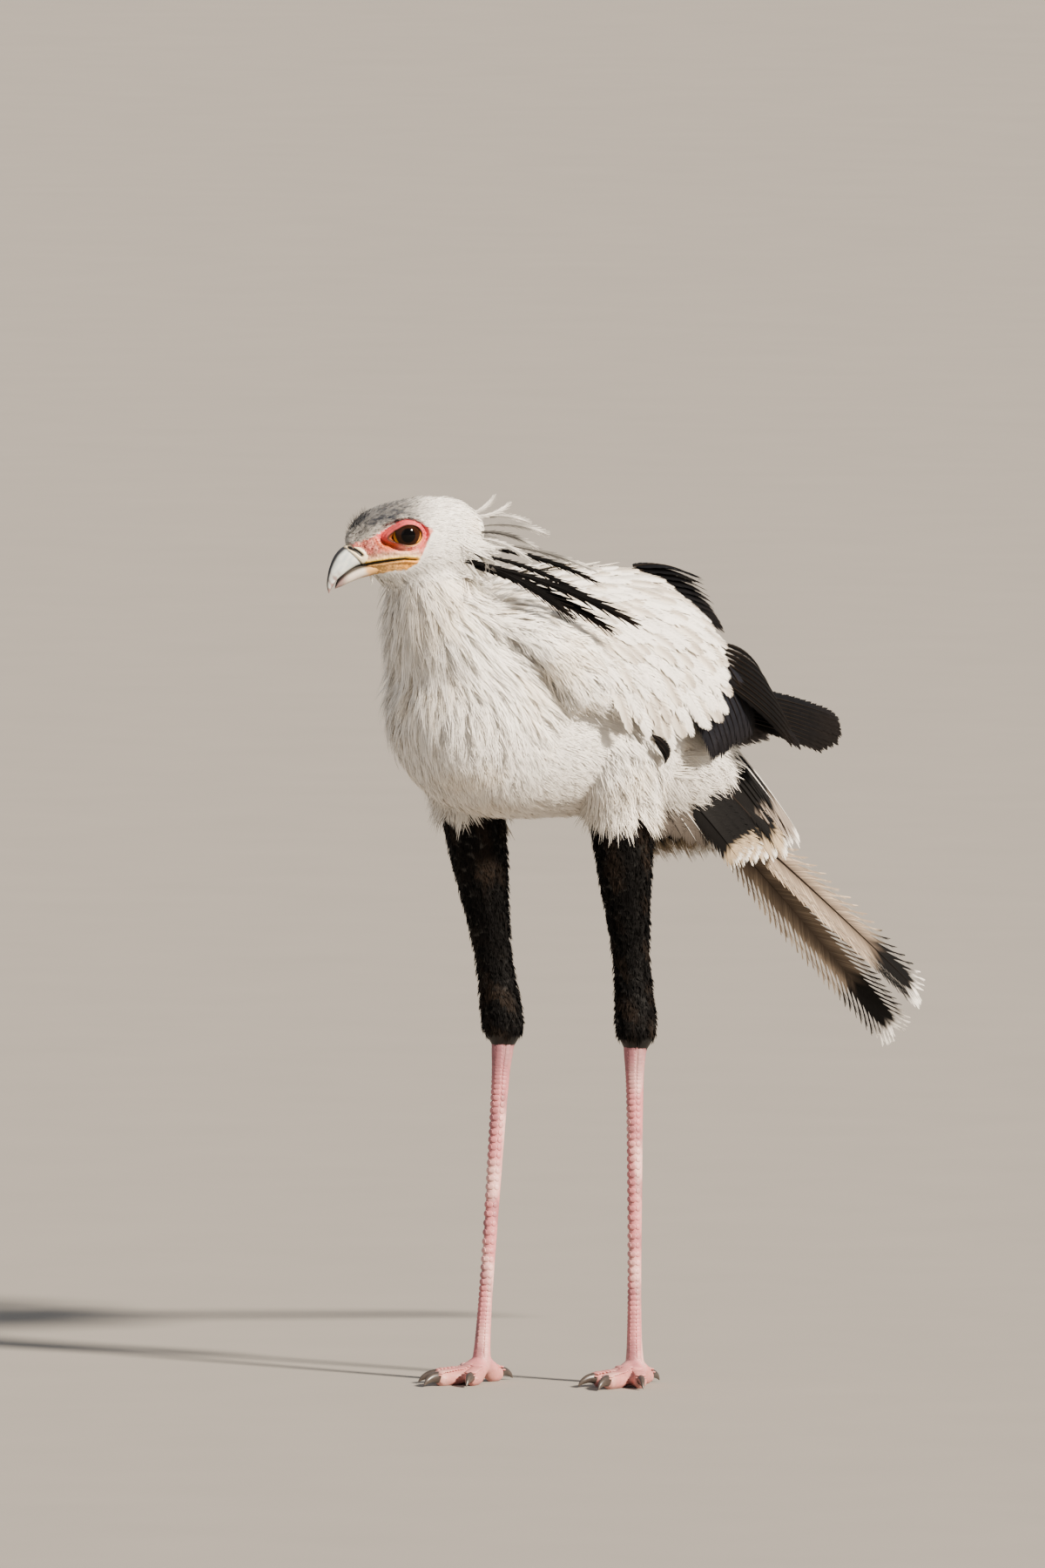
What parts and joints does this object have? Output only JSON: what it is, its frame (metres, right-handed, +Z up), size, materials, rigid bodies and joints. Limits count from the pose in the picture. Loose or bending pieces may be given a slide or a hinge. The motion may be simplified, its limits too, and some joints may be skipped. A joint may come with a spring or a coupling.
{
  "type": "secretary bird",
  "caption": "Life-size secretary bird standing on both feet, neck drawn in and head turned to its right, with folded wings, nape plumes and a long drooping tail, as a still display model.",
  "frame": {"origin": "middle of the bird's box in plan, on the floor that its feet stand on", "axes": "+Z up, the bird's breast faces -Y and its tail points to +Y, its left side is +X"},
  "size_m": [0.289, 0.8704, 0.8637],
  "materials": {
    "white_feather": "matte",
    "grey_feather": "matte",
    "head_feather": "matte",
    "black_feather": "satin",
    "bill": "satin",
    "leg_skin": "matte",
    "claw": "satin",
    "eye": "gloss"
  },
  "bodies": {
    "root": {"bill_lower": "bill", "bill_upper": "bill", "claw_hind_left": "claw", "claw_hind_right": "claw", "claw_inner_left": "claw", "claw_inner_right": "claw", "claw_middle_left": "claw", "claw_middle_right": "claw", "claw_outer_left": "claw", "claw_outer_right": "claw", "eye_left": "eye", "eye_right": "eye", "foot_left": "leg_skin", "foot_right": "leg_skin", "head": "head_feather", "neck": "white_feather", "shank_left": "black_feather", "shank_right": "black_feather", "tail": "grey_feather", "tail_long_left": "grey_feather", "tail_long_right": "grey_feather", "tarsus_left": "leg_skin", "tarsus_right": "leg_skin", "thigh_left": "white_feather", "thigh_right": "white_feather", "torso": "white_feather", "wing_coverts_left": "grey_feather", "wing_coverts_right": "grey_feather", "wing_flight_left": "black_feather", "wing_flight_right": "black_feather"}
  },
  "joints": []
}
